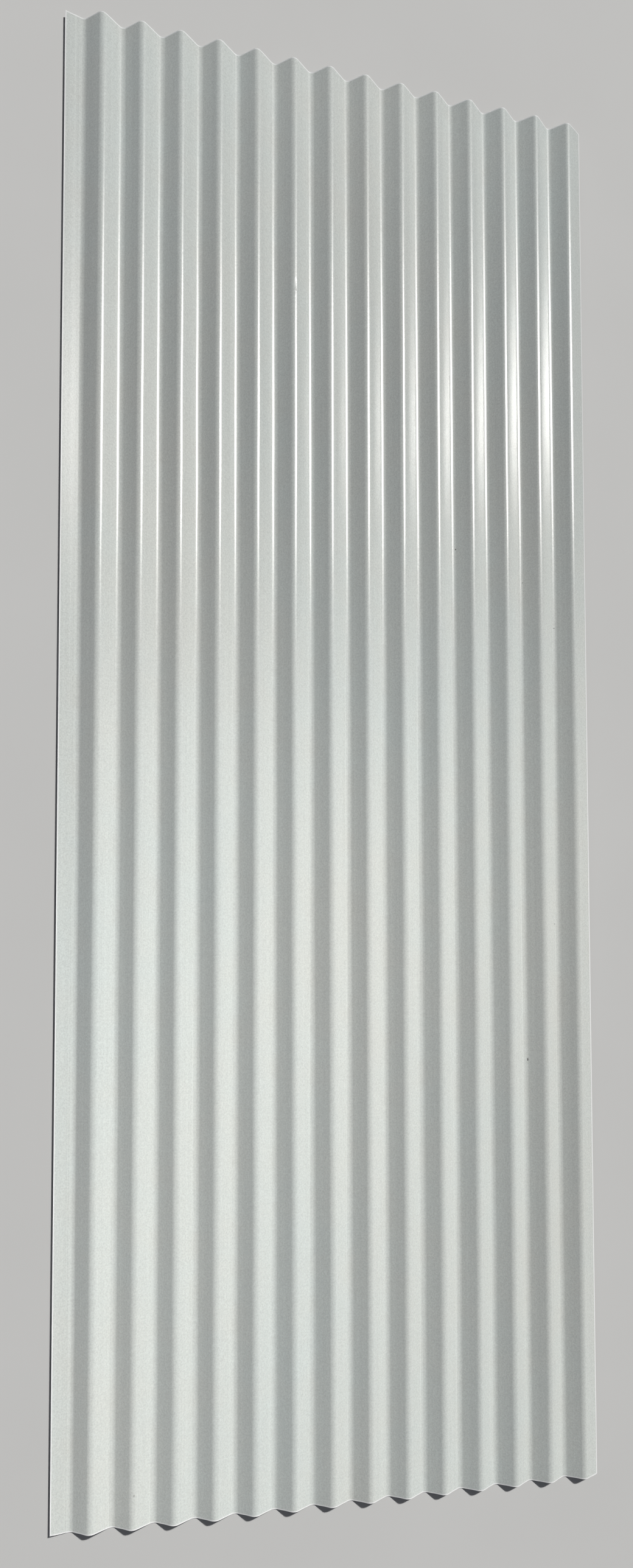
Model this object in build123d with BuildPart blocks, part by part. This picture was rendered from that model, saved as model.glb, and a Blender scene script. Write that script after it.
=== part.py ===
# Corrugated roofing sheet of painted steel, 36 in wide by 8 ft long, with 2-1/2 in by 5/8 in waves.
# It lies flat on its valleys. X runs across the waves, Y along them and Z up, in millimetres.
# The origin is the middle of the footprint, level with the underside of the valleys.

import os
from math import asin, atan2, cos, degrees, hypot, radians, sin

from build123d import *

# Sheet
sheet_length = 2438.4
thickness = 0.6

# Waves, measured along the middle of the metal
crest_count = 14
pitch = 63.5
wave_depth = 15.3
bend_radius = 12.0

# Side laps, each a straight leg that lies flatter than the flanks between the waves
left_lap_width = 28.15
left_lap_angle = 11.0
right_lap_width = 29.0
right_lap_angle = 26.0


# A flank is the straight line that touches one crest arc and the next valley arc.
arc_drop = wave_depth - 2 * bend_radius
flank_angle = degrees(
    asin(2 * bend_radius / hypot(pitch / 2, arc_drop)) + atan2(arc_drop, pitch / 2)
)
flank_run = pitch / 2 - 2 * bend_radius * sin(radians(flank_angle))
flank_length = flank_run / cos(radians(flank_angle))


def lap_leg_length(lap_width, lap_angle):
    """Straight length of a side lap, from the end of its bend to the edge of the sheet."""
    return (lap_width - bend_radius * sin(radians(lap_angle))) / cos(radians(lap_angle))


left_leg_length = lap_leg_length(left_lap_width, left_lap_angle)
right_leg_length = lap_leg_length(right_lap_width, right_lap_angle)

# The section starts at the left edge, which stands a little above the first valley.
sheet_width = left_lap_width + (crest_count - 0.5) * pitch + right_lap_width
left_edge_rise = (
    bend_radius * (1 - cos(radians(left_lap_angle)))
    + left_leg_length * sin(radians(left_lap_angle))
)
left_edge = (-sheet_width / 2, thickness / 2 + left_edge_rise)


with BuildPart() as corrugated_sheet:
    with BuildSketch(Plane.XZ) as section:
        with BuildLine() as middle_of_metal:
            left_leg = PolarLine(left_edge, left_leg_length, -left_lap_angle)
            valley = JernArc(left_leg @ 1, left_leg % 1, bend_radius, left_lap_angle + flank_angle)
            for wave in range(crest_count - 1):
                rise = PolarLine(valley @ 1, flank_length, flank_angle)
                crest = JernArc(rise @ 1, rise % 1, bend_radius, -2 * flank_angle)
                fall = PolarLine(crest @ 1, flank_length, -flank_angle)
                valley = JernArc(fall @ 1, fall % 1, bend_radius, 2 * flank_angle)
            last_rise = PolarLine(valley @ 1, flank_length, flank_angle)
            last_turn = flank_angle + right_lap_angle
            last_crest = JernArc(last_rise @ 1, last_rise % 1, bend_radius, -last_turn)
            right_leg = PolarLine(last_crest @ 1, right_leg_length, -right_lap_angle)
        trace(line_width=thickness)
    extrude(amount=sheet_length / 2, both=True)

corrugated_sheet.part.label = "corrugated_sheet"

os.makedirs("parts", exist_ok=True)
export_step(corrugated_sheet.part, "parts/corrugated_sheet.step")
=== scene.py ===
# The looks of a corrugated roofing sheet of painted steel, lying flat on a pale studio floor.
# Sizes are in metres, in the part's own frame: X across the waves, Y along them and Z up.

from math import asin, atan2, ceil, cos, exp, hypot, radians, sin

import bmesh
import bpy
from mathutils import Euler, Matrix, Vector, noise


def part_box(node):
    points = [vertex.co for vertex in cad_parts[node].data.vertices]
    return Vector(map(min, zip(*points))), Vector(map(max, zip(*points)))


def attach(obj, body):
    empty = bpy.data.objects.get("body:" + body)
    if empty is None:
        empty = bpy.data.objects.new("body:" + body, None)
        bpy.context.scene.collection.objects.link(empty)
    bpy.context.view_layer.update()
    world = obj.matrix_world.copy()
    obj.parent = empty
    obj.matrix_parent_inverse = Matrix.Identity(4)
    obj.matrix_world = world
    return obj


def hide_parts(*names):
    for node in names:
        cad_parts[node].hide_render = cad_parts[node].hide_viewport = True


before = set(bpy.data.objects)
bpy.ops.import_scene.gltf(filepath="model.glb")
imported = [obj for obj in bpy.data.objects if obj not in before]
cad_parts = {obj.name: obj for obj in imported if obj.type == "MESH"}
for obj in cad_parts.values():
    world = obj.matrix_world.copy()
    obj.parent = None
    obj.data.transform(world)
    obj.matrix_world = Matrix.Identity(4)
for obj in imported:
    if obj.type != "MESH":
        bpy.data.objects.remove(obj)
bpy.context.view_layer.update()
sheet_low, sheet_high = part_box("corrugated_sheet")

# Sheet, as the part has it
crest_count = 14
pitch = 0.0635
thickness = 0.0006
bend_radius = 0.012
left_lap_width = 0.02815
left_lap_angle = radians(11)
right_lap_width = 0.029
right_lap_angle = radians(26)
wave_depth = sheet_high.z - sheet_low.z - thickness
sheet_width = left_lap_width + (crest_count - 0.5) * pitch + right_lap_width

# A flank is the straight line that touches one crest arc and the next valley arc.
arc_drop = wave_depth - 2 * bend_radius
flank_angle = asin(2 * bend_radius / hypot(pitch / 2, arc_drop)) + atan2(arc_drop, pitch / 2)
flank_length = (pitch / 2 - 2 * bend_radius * sin(flank_angle)) / cos(flank_angle)

# Fineness of the mesh
bend_step = radians(6)
flank_steps = 2
lap_steps = 4
row_gap = 0.028
sharp_angle = radians(50)

# The upper rim is rounded. A narrow strip of mesh beside it keeps its shading off the wide faces.
rim_rounding = 0.00015
rim_strip = 0.0008
weld_gap = rim_rounding / 100

# The rolls leave each line of the waves a little unsteady, but for the half pitch at each side.
waver = 0.00044
waver_width = 2 * pitch
waver_length = 0.16
waver_layer = 3.7
steady_side = 0.5 * pitch

# Small dent on the sixth crest
dent_place = Vector((-0.0785, 0.8185))
dent_half_width = 0.0024
dent_half_length = 0.0085
dent_depth = 0.00022
dent_reach = 2.2 * dent_half_length
dent_row_gap = 0.0016

# Dark specks of grit: place, half width, half length and how dark
specks = [
    (-0.0770, 0.8080, 0.0009, 0.0011, 0.70),
    (0.3365, -0.4956, 0.0010, 0.0027, 0.90),
    (-0.3318, -1.1667, 0.0015, 0.0017, 0.35),
    (0.2100, 0.4027, 0.0011, 0.0014, 0.80),
    (0.3963, 0.2803, 0.0012, 0.0011, 0.75),
    (0.3893, -0.2556, 0.0013, 0.0012, 0.50),
    (0.3357, 0.3569, 0.0009, 0.0009, 0.60),
]

# A speck is at its darkest out to the first share of its size, and gone at the second.
speck_core = 0.75
speck_end = 1.15

# Dust lies in the valleys: all of it below the first height, none above the second.
dust_full = 0.001
dust_none = 0.006

# Painted highlight: the coat is made bright along the cut edges, in place of the glint there. Where
# that starts and is full, in from the edge.
side_highlight_start = 0.0024
side_highlight_full = 0.0014
end_highlight_start = 0.0026
end_highlight_full = 0.0015
end_highlight_strength = 0.9

# Material numbers of the faces, in the order in which the sheet gets its materials
painted_face, underside, cut_edge = range(3)


# Mesh of the sheet

def section_points():
    """Points along the middle of the metal from the left edge to the right: x, z and slope."""
    left_leg = (left_lap_width - bend_radius * sin(left_lap_angle)) / cos(left_lap_angle)
    right_leg = (right_lap_width - bend_radius * sin(right_lap_angle)) / cos(right_lap_angle)
    left_rise = bend_radius * (1 - cos(left_lap_angle)) + left_leg * sin(left_lap_angle)
    points = [(-sheet_width / 2, sheet_low.z + thickness / 2 + left_rise, -left_lap_angle)]

    def straight(length, steps):
        x, z, slope = points[-1]
        for step in range(1, steps + 1):
            run = length * step / steps
            points.append((x + run * cos(slope), z + run * sin(slope), slope))

    def bend(turn):
        x, z, slope = points[-1]
        steps = ceil(abs(turn) / bend_step)
        radius = bend_radius if turn > 0 else -bend_radius
        for step in range(1, steps + 1):
            now = slope + turn * step / steps
            across = radius * (sin(now) - sin(slope))
            up = radius * (cos(slope) - cos(now))
            points.append((x + across, z + up, now))

    straight(rim_strip, 1)
    straight(left_leg - rim_strip, lap_steps)
    bend(left_lap_angle + flank_angle)
    for wave in range(crest_count - 1):
        straight(flank_length, flank_steps)
        bend(-2 * flank_angle)
        straight(flank_length, flank_steps)
        bend(2 * flank_angle)
    straight(flank_length, flank_steps)
    bend(-flank_angle - right_lap_angle)
    straight(right_leg - rim_strip, lap_steps)
    straight(rim_strip, 1)
    return points


def evenly(start, end, gap):
    """Places from start up to, but without, end, no further apart than gap."""
    steps = ceil((end - start) / gap)
    return [start + (end - start) * step / steps for step in range(steps)]


def row_places():
    """Where along the sheet the mesh has a row, closer together over the dent and at the ends."""
    dent_start = dent_place.y - dent_reach
    dent_end = dent_place.y + dent_reach
    rows = [sheet_low.y] + evenly(sheet_low.y + rim_strip, dent_start, row_gap)
    rows += evenly(dent_start, dent_end, dent_row_gap)
    rows += evenly(dent_end, sheet_high.y - rim_strip, row_gap)
    return rows + [sheet_high.y - rim_strip, sheet_high.y]


def roll_waver(x, y):
    """Sideways shift of the metal: none at the steady sides, and full one pitch further in."""
    room = min(x - sheet_low.x, sheet_high.x - x) - steady_side
    fade = max(0.0, min(1.0, room / pitch))
    return waver * fade * noise.noise(Vector((x / waver_width, y / waver_length, waver_layer)))


def dent(x, y):
    """How far the dent pushes the metal down: round across the crest, longer and flatter along it."""
    across = (x - dent_place.x) / dent_half_width
    along = (y - dent_place.y) / dent_half_length
    return dent_depth * exp(-across ** 2 - along ** 4)


def face_points(mesh, offset):
    """Rows of points on one face of the sheet, which lies offset from the middle of the metal."""
    section = section_points()
    grid = []
    for y in row_places():
        row = []
        for x, z, slope in section:
            place = (
                x - offset * sin(slope) + roll_waver(x, y),
                y,
                z + offset * cos(slope) - dent(x, y),
            )
            row.append(mesh.verts.new(place))
        grid.append(row)
    return grid


def join(mesh, row, next_row, material, flip):
    """A strip of faces between two rows of points."""
    for i in range(len(row) - 1):
        outline = [row[i], row[i + 1], next_row[i + 1], next_row[i]]
        face = mesh.faces.new(outline[::-1] if flip else outline)
        face.material_index = material


def round_rim(mesh):
    """Rounds the upper rim, and welds the points that this leaves in one place."""
    rim_sides = {painted_face, cut_edge}
    rim = [e for e in mesh.edges if {f.material_index for f in e.link_faces} == rim_sides]
    bmesh.ops.bevel(mesh, geom=rim, offset=rim_rounding, segments=2, profile=0.5, affect="EDGES")
    bmesh.ops.remove_doubles(mesh, verts=mesh.verts, dist=weld_gap)


def make_sheet():
    """The whole sheet: painted face, underside and the cut edges between them."""
    mesh = bmesh.new()
    upper = face_points(mesh, thickness / 2)
    lower = face_points(mesh, -thickness / 2)
    for near, far in zip(upper, upper[1:]):
        join(mesh, near, far, painted_face, False)
    for near, far in zip(lower, lower[1:]):
        join(mesh, near, far, underside, True)
    join(mesh, upper[0], lower[0], cut_edge, True)
    join(mesh, upper[-1], lower[-1], cut_edge, False)
    join(mesh, [row[0] for row in upper], [row[0] for row in lower], cut_edge, False)
    join(mesh, [row[-1] for row in upper], [row[-1] for row in lower], cut_edge, True)
    round_rim(mesh)
    data = bpy.data.meshes.new("sheet_metal")
    mesh.to_mesh(data)
    mesh.free()
    data.shade_smooth()
    data.set_sharp_from_angle(angle=sharp_angle)
    sheet = bpy.data.objects.new("sheet_metal", data)
    bpy.context.scene.collection.objects.link(sheet)
    return sheet


# Materials

def new_material(name):
    """A material with its node tree and its Principled shader."""
    material = bpy.data.materials.new(name)
    material.use_nodes = True
    return material, material.node_tree, material.node_tree.nodes["Principled BSDF"]


def fill(tree, node, inputs):
    """Fills a node's input sockets with values or with other nodes' outputs."""
    for key, value in inputs.items():
        if isinstance(value, bpy.types.NodeSocket):
            tree.links.new(value, node.inputs[key])
        else:
            node.inputs[key].default_value = value


def add(tree, kind, inputs=None, **settings):
    """Adds a node, sets it and fills its input sockets."""
    node = tree.nodes.new("ShaderNode" + kind)
    for name, value in settings.items():
        setattr(node, name, value)
    fill(tree, node, inputs or {})
    return node


def object_place(tree):
    """The point on the object, in metres."""
    return add(tree, "TexCoord").outputs["Object"]


def noise_at(tree, place, stretch, detail=2.0, roughness=0.5):
    """Noise from 0 to 1, with so many features to the metre along each axis."""
    scaled = add(tree, "VectorMath", {0: place, 1: stretch}, operation="MULTIPLY").outputs[0]
    settings = {"Vector": scaled, "Scale": 1.0, "Detail": detail, "Roughness": roughness}
    return add(tree, "TexNoise", settings).outputs["Fac"]


def ranged(tree, value, low, high, to_low, to_high):
    """The value moved from one range to another and kept inside it."""
    return add(tree, "MapRange", {
        "Value": value,
        "From Min": low,
        "From Max": high,
        "To Min": to_low,
        "To Max": to_high,
    }).outputs["Result"]


def spread(tree, pattern, to_low, to_high):
    """Noise moved to a range. Nearly all of it lies between 0.3 and 0.7 before."""
    return ranged(tree, pattern, 0.3, 0.7, to_low, to_high)


def combined(tree, operation, first, second):
    """Two values added, multiplied or compared."""
    return add(tree, "Math", {0: first, 1: second}, operation=operation).outputs[0]


def mixed(tree, factor, first, second, blend="MIX"):
    """Two colours mixed by a factor."""
    colours = {0: factor, 6: first, 7: second}
    return add(tree, "Mix", colours, data_type="RGBA", blend_type=blend).outputs[2]


def shaded(tree, colour, pattern, darkest, brightest):
    """A colour made darker and brighter by noise."""
    return mixed(tree, 1.0, colour, spread(tree, pattern, darkest, brightest), "MULTIPLY")


def bumped(tree, height, depth, over=None):
    """The surface's direction with bumps so many metres high, on top of other bumps if given."""
    bump = add(tree, "Bump", {"Height": height, "Strength": 1.0, "Distance": depth})
    if over:
        fill(tree, bump, {"Normal": over})
    return bump.outputs[0]


def speck_mask(tree, place):
    """How dark each point is with grit: 0 away from the specks."""
    mask = None
    for x, y, half_width, half_length, darkness in specks:
        settings = {"Vector": place, "Location": (x, y, 0), "Scale": (half_width, half_length, 1)}
        moved = add(tree, "Mapping", settings, vector_type="TEXTURE").outputs[0]
        away = add(tree, "VectorMath", {0: moved}, operation="LENGTH").outputs["Value"]
        spot = ranged(tree, away, speck_core, speck_end, darkness, 0.0)
        mask = spot if mask is None else combined(tree, "MAXIMUM", mask, spot)
    return mask


def painted_highlight_mask(tree, place):
    """How much painted highlight the coat gets: 0 but for a narrow strip along the cut edges."""
    from_middle = add(tree, "VectorMath", {0: place}, operation="ABSOLUTE").outputs[0]
    axes = add(tree, "SeparateXYZ", {0: from_middle})
    side_start = sheet_high.x - side_highlight_start
    side_full = sheet_high.x - side_highlight_full
    side = ranged(tree, axes.outputs["X"], side_start, side_full, 0.0, 1.0)
    end_start = sheet_high.y - end_highlight_start
    end_full = sheet_high.y - end_highlight_full
    end = ranged(tree, axes.outputs["Y"], end_start, end_full, 0.0, end_highlight_strength)
    return combined(tree, "MAXIMUM", side, end)


def paint_material():
    """Satin coil coat in pale grey: faint roll streaks, a fine grain, a little dust in the valleys,
    and a painted highlight along the cut edges.
    """
    material, tree, shader = new_material("pale_grey_coil_coat")
    cool_coat = (0.707, 0.752, 0.729, 1)
    warm_coat = (0.735, 0.749, 0.712, 1)
    dust = (0.50, 0.47, 0.41, 1)
    # Colour of the painted highlight along the cut edges
    painted_highlight_coat = (0.95, 0.955, 0.95, 1)
    grit = (0.10, 0.095, 0.085, 1)

    place = object_place(tree)
    drift = noise_at(tree, place, (3.2, 1.4, 3.2), detail=1)
    clouds = noise_at(tree, place, (16, 16, 16), detail=3)
    streaks = noise_at(tree, place, (330, 1.3, 330), detail=2)
    peel = noise_at(tree, place, (130, 90, 130), detail=1)
    grain = noise_at(tree, place, (430, 370, 430), detail=2, roughness=0.6)
    height = add(tree, "SeparateXYZ", {0: place}).outputs["Z"]
    in_valley = ranged(tree, height, dust_full, dust_none, 1.0, 0.0)

    broad_warmth = spread(tree, drift, 0.0, 0.7)
    small_warmth = ranged(tree, clouds, 0.35, 0.65, 0.0, 0.3)
    coat = mixed(tree, combined(tree, "ADD", broad_warmth, small_warmth), cool_coat, warm_coat)
    coat = shaded(tree, coat, streaks, 0.975, 1.015)
    coat = shaded(tree, coat, grain, 0.90, 1.075)
    dustiness = combined(tree, "MULTIPLY", in_valley, ranged(tree, clouds, 0.4, 0.7, 0.0, 0.07))
    coat = mixed(tree, dustiness, coat, dust)
    # Painted highlight: the coat turns bright in a narrow strip along the cut edges
    coat = mixed(tree, painted_highlight_mask(tree, place), coat, painted_highlight_coat)
    coat = mixed(tree, speck_mask(tree, place), coat, grit)

    satin = spread(tree, streaks, 0.238, 0.256)
    dulled = combined(tree, "MULTIPLY", in_valley, 0.03)
    fine = bumped(tree, grain, 0.00005)
    fill(tree, shader, {
        "Base Color": coat,
        "Roughness": combined(tree, "ADD", satin, dulled),
        "IOR": 1.45,
        "Diffuse Roughness": 0.35,
        "Anisotropic": 0.55,
        "Tangent": add(tree, "CombineXYZ", {"X": 1.0}).outputs[0],
        "Normal": bumped(tree, peel, 0.00004, over=fine),
    })
    return material


def backer_material():
    """Thin duller wash coat on the underside."""
    material, tree, shader = new_material("grey_backer_coat")
    dark_wash = (0.42, 0.43, 0.42, 1)
    pale_wash = (0.47, 0.475, 0.455, 1)
    place = object_place(tree)
    streaks = noise_at(tree, place, (240, 1.0, 240), detail=3)
    blotches = noise_at(tree, place, (30, 12, 30), detail=3)
    coat = mixed(tree, spread(tree, blotches, 0, 1), dark_wash, pale_wash)
    fill(tree, shader, {
        "Base Color": shaded(tree, coat, streaks, 0.93, 1.05),
        "Roughness": spread(tree, streaks, 0.5, 0.62),
        "Normal": bumped(tree, streaks, 0.00003),
    })
    return material


def cut_edge_material():
    """Sheared steel with its zinc drawn over the cut."""
    material, tree, shader = new_material("sheared_zinc_edge")
    dark_zinc = (0.46, 0.47, 0.48, 1)
    pale_zinc = (0.70, 0.71, 0.72, 1)
    teeth = noise_at(tree, object_place(tree), (900, 900, 2500), detail=2)
    fill(tree, shader, {
        "Base Color": mixed(tree, spread(tree, teeth, 0, 1), dark_zinc, pale_zinc),
        "Metallic": 0.85,
        "Roughness": spread(tree, teeth, 0.32, 0.5),
    })
    return material


def floor_material():
    """Plain pale studio floor."""
    material, tree, shader = new_material("pale_floor")
    darker = (0.645, 0.646, 0.640, 1)
    paler = (0.663, 0.664, 0.658, 1)
    faint = noise_at(tree, object_place(tree), (3, 3, 3), detail=3)
    fill(tree, shader, {
        "Base Color": mixed(tree, spread(tree, faint, 0, 1), darker, paler),
        "Roughness": 0.9,
        "Specular IOR Level": 0.2,
    })
    return material


sheet = make_sheet()
for finish in (paint_material(), backer_material(), cut_edge_material()):
    sheet.data.materials.append(finish)
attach(sheet, "root")
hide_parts("corrugated_sheet")


# Studio

def make_floor():
    """A wide level floor, a hair below the sheet."""
    half = 60.0
    gap = 0.0003
    outline = [(-half, -half, 0), (half, -half, 0), (half, half, 0), (-half, half, 0)]
    data = bpy.data.meshes.new("floor")
    data.from_pydata(outline, [], [(0, 1, 2, 3)])
    data.materials.append(floor_material())
    floor = bpy.data.objects.new("floor", data)
    floor.location.z = sheet_low.z - gap
    bpy.context.scene.collection.objects.link(floor)
    return floor


def add_lamp(name, kind, energy, towards):
    """A lamp at the origin, turned so that its light comes from the direction given as towards."""
    lamp = bpy.data.lights.new(name, kind)
    lamp.energy = energy
    carrier = bpy.data.objects.new(name, lamp)
    carrier.rotation_euler = Vector(towards).to_track_quat("Z", "Y").to_euler()
    bpy.context.scene.collection.objects.link(carrier)
    return carrier


def group_of(name, thing):
    """A group that holds one object, so that a lamp can light that object alone."""
    group = bpy.data.collections.new(name)
    group.objects.link(thing)
    return group


def make_key():
    """One key light, a small soft source high beyond the far right corner."""
    key = add_lamp("key", "SUN", energy=3.25, towards=(0.407, 0.619, 0.658))
    key.data.angle = radians(4)
    key.data.color = (1.0, 0.985, 0.955)


def make_floor_fill(floor):
    """Wide soft light on the floor alone, so that the shadows on it stay light and neutral."""
    soft = add_lamp("floor_fill", "SUN", energy=0.22, towards=(0, 0, 1))
    soft.data.angle = radians(120)
    soft.data.color = (1.0, 0.96, 0.86)
    soft.light_linking.receiver_collection = group_of("floor_only", floor)


def make_lift(name, receivers, target, towards, energy):
    """A weak soft lamp over one part of the sheet, for the sheet alone and without a reflection."""
    distance = 2.4
    towards = Vector(towards).normalized()
    lift = add_lamp(name, "AREA", energy, towards)
    lift.location = Vector(target) + towards * distance
    lift.data.shape = "DISK"
    lift.data.size = 0.8
    lift.data.spread = radians(44)
    lift.visible_glossy = False
    lift.light_linking.receiver_collection = receivers


def make_world():
    """Weak bluish fill light, and behind the floor the tone that its far part has in the render."""
    world = bpy.data.worlds.new("studio")
    world.use_nodes = True
    tree = world.node_tree
    sky = tree.nodes["Background"]
    fill(tree, sky, {"Color": (0.80, 0.98, 1.45, 1), "Strength": 0.04})
    behind = add(tree, "Background", {"Color": (0.497, 0.495, 0.487, 1), "Strength": 1.0})
    seen = add(tree, "LightPath").outputs["Is Camera Ray"]
    choice = add(tree, "MixShader", {0: seen, 1: sky.outputs[0], 2: behind.outputs[0]})
    fill(tree, tree.nodes["World Output"], {"Surface": choice.outputs[0]})
    bpy.context.scene.world = world


def make_camera():
    """Looks down on the sheet from above its left half, with lens and place fitted to the photo."""
    image_height_px = 2576
    focal_length_px = 1300
    horizon_shift_px = 391
    data = bpy.data.cameras.new("camera")
    data.sensor_width = 36
    data.lens = data.sensor_width * focal_length_px / image_height_px
    data.shift_y = horizon_shift_px / image_height_px
    data.clip_start = 0.05
    camera = bpy.data.objects.new("camera", data)
    camera.location = (-0.2915, -0.4783, 1.2939)
    camera.rotation_euler = Euler((radians(2.031), radians(-10.975), radians(-0.079)))
    bpy.context.scene.collection.objects.link(camera)
    bpy.context.scene.camera = camera


make_key()
make_floor_fill(make_floor())
sheet_only = group_of("lifted", sheet)
make_lift("near_lift", sheet_only, target=(-0.42, -0.53, 0), towards=(0.65, 0.55, 0.52), energy=1.25)
make_lift("far_lift", sheet_only, target=(0.0, 1.7, 0), towards=(0.34, 0.05, 0.94), energy=1.0)
make_world()
make_camera()
bpy.context.scene.view_settings.view_transform = "Standard"
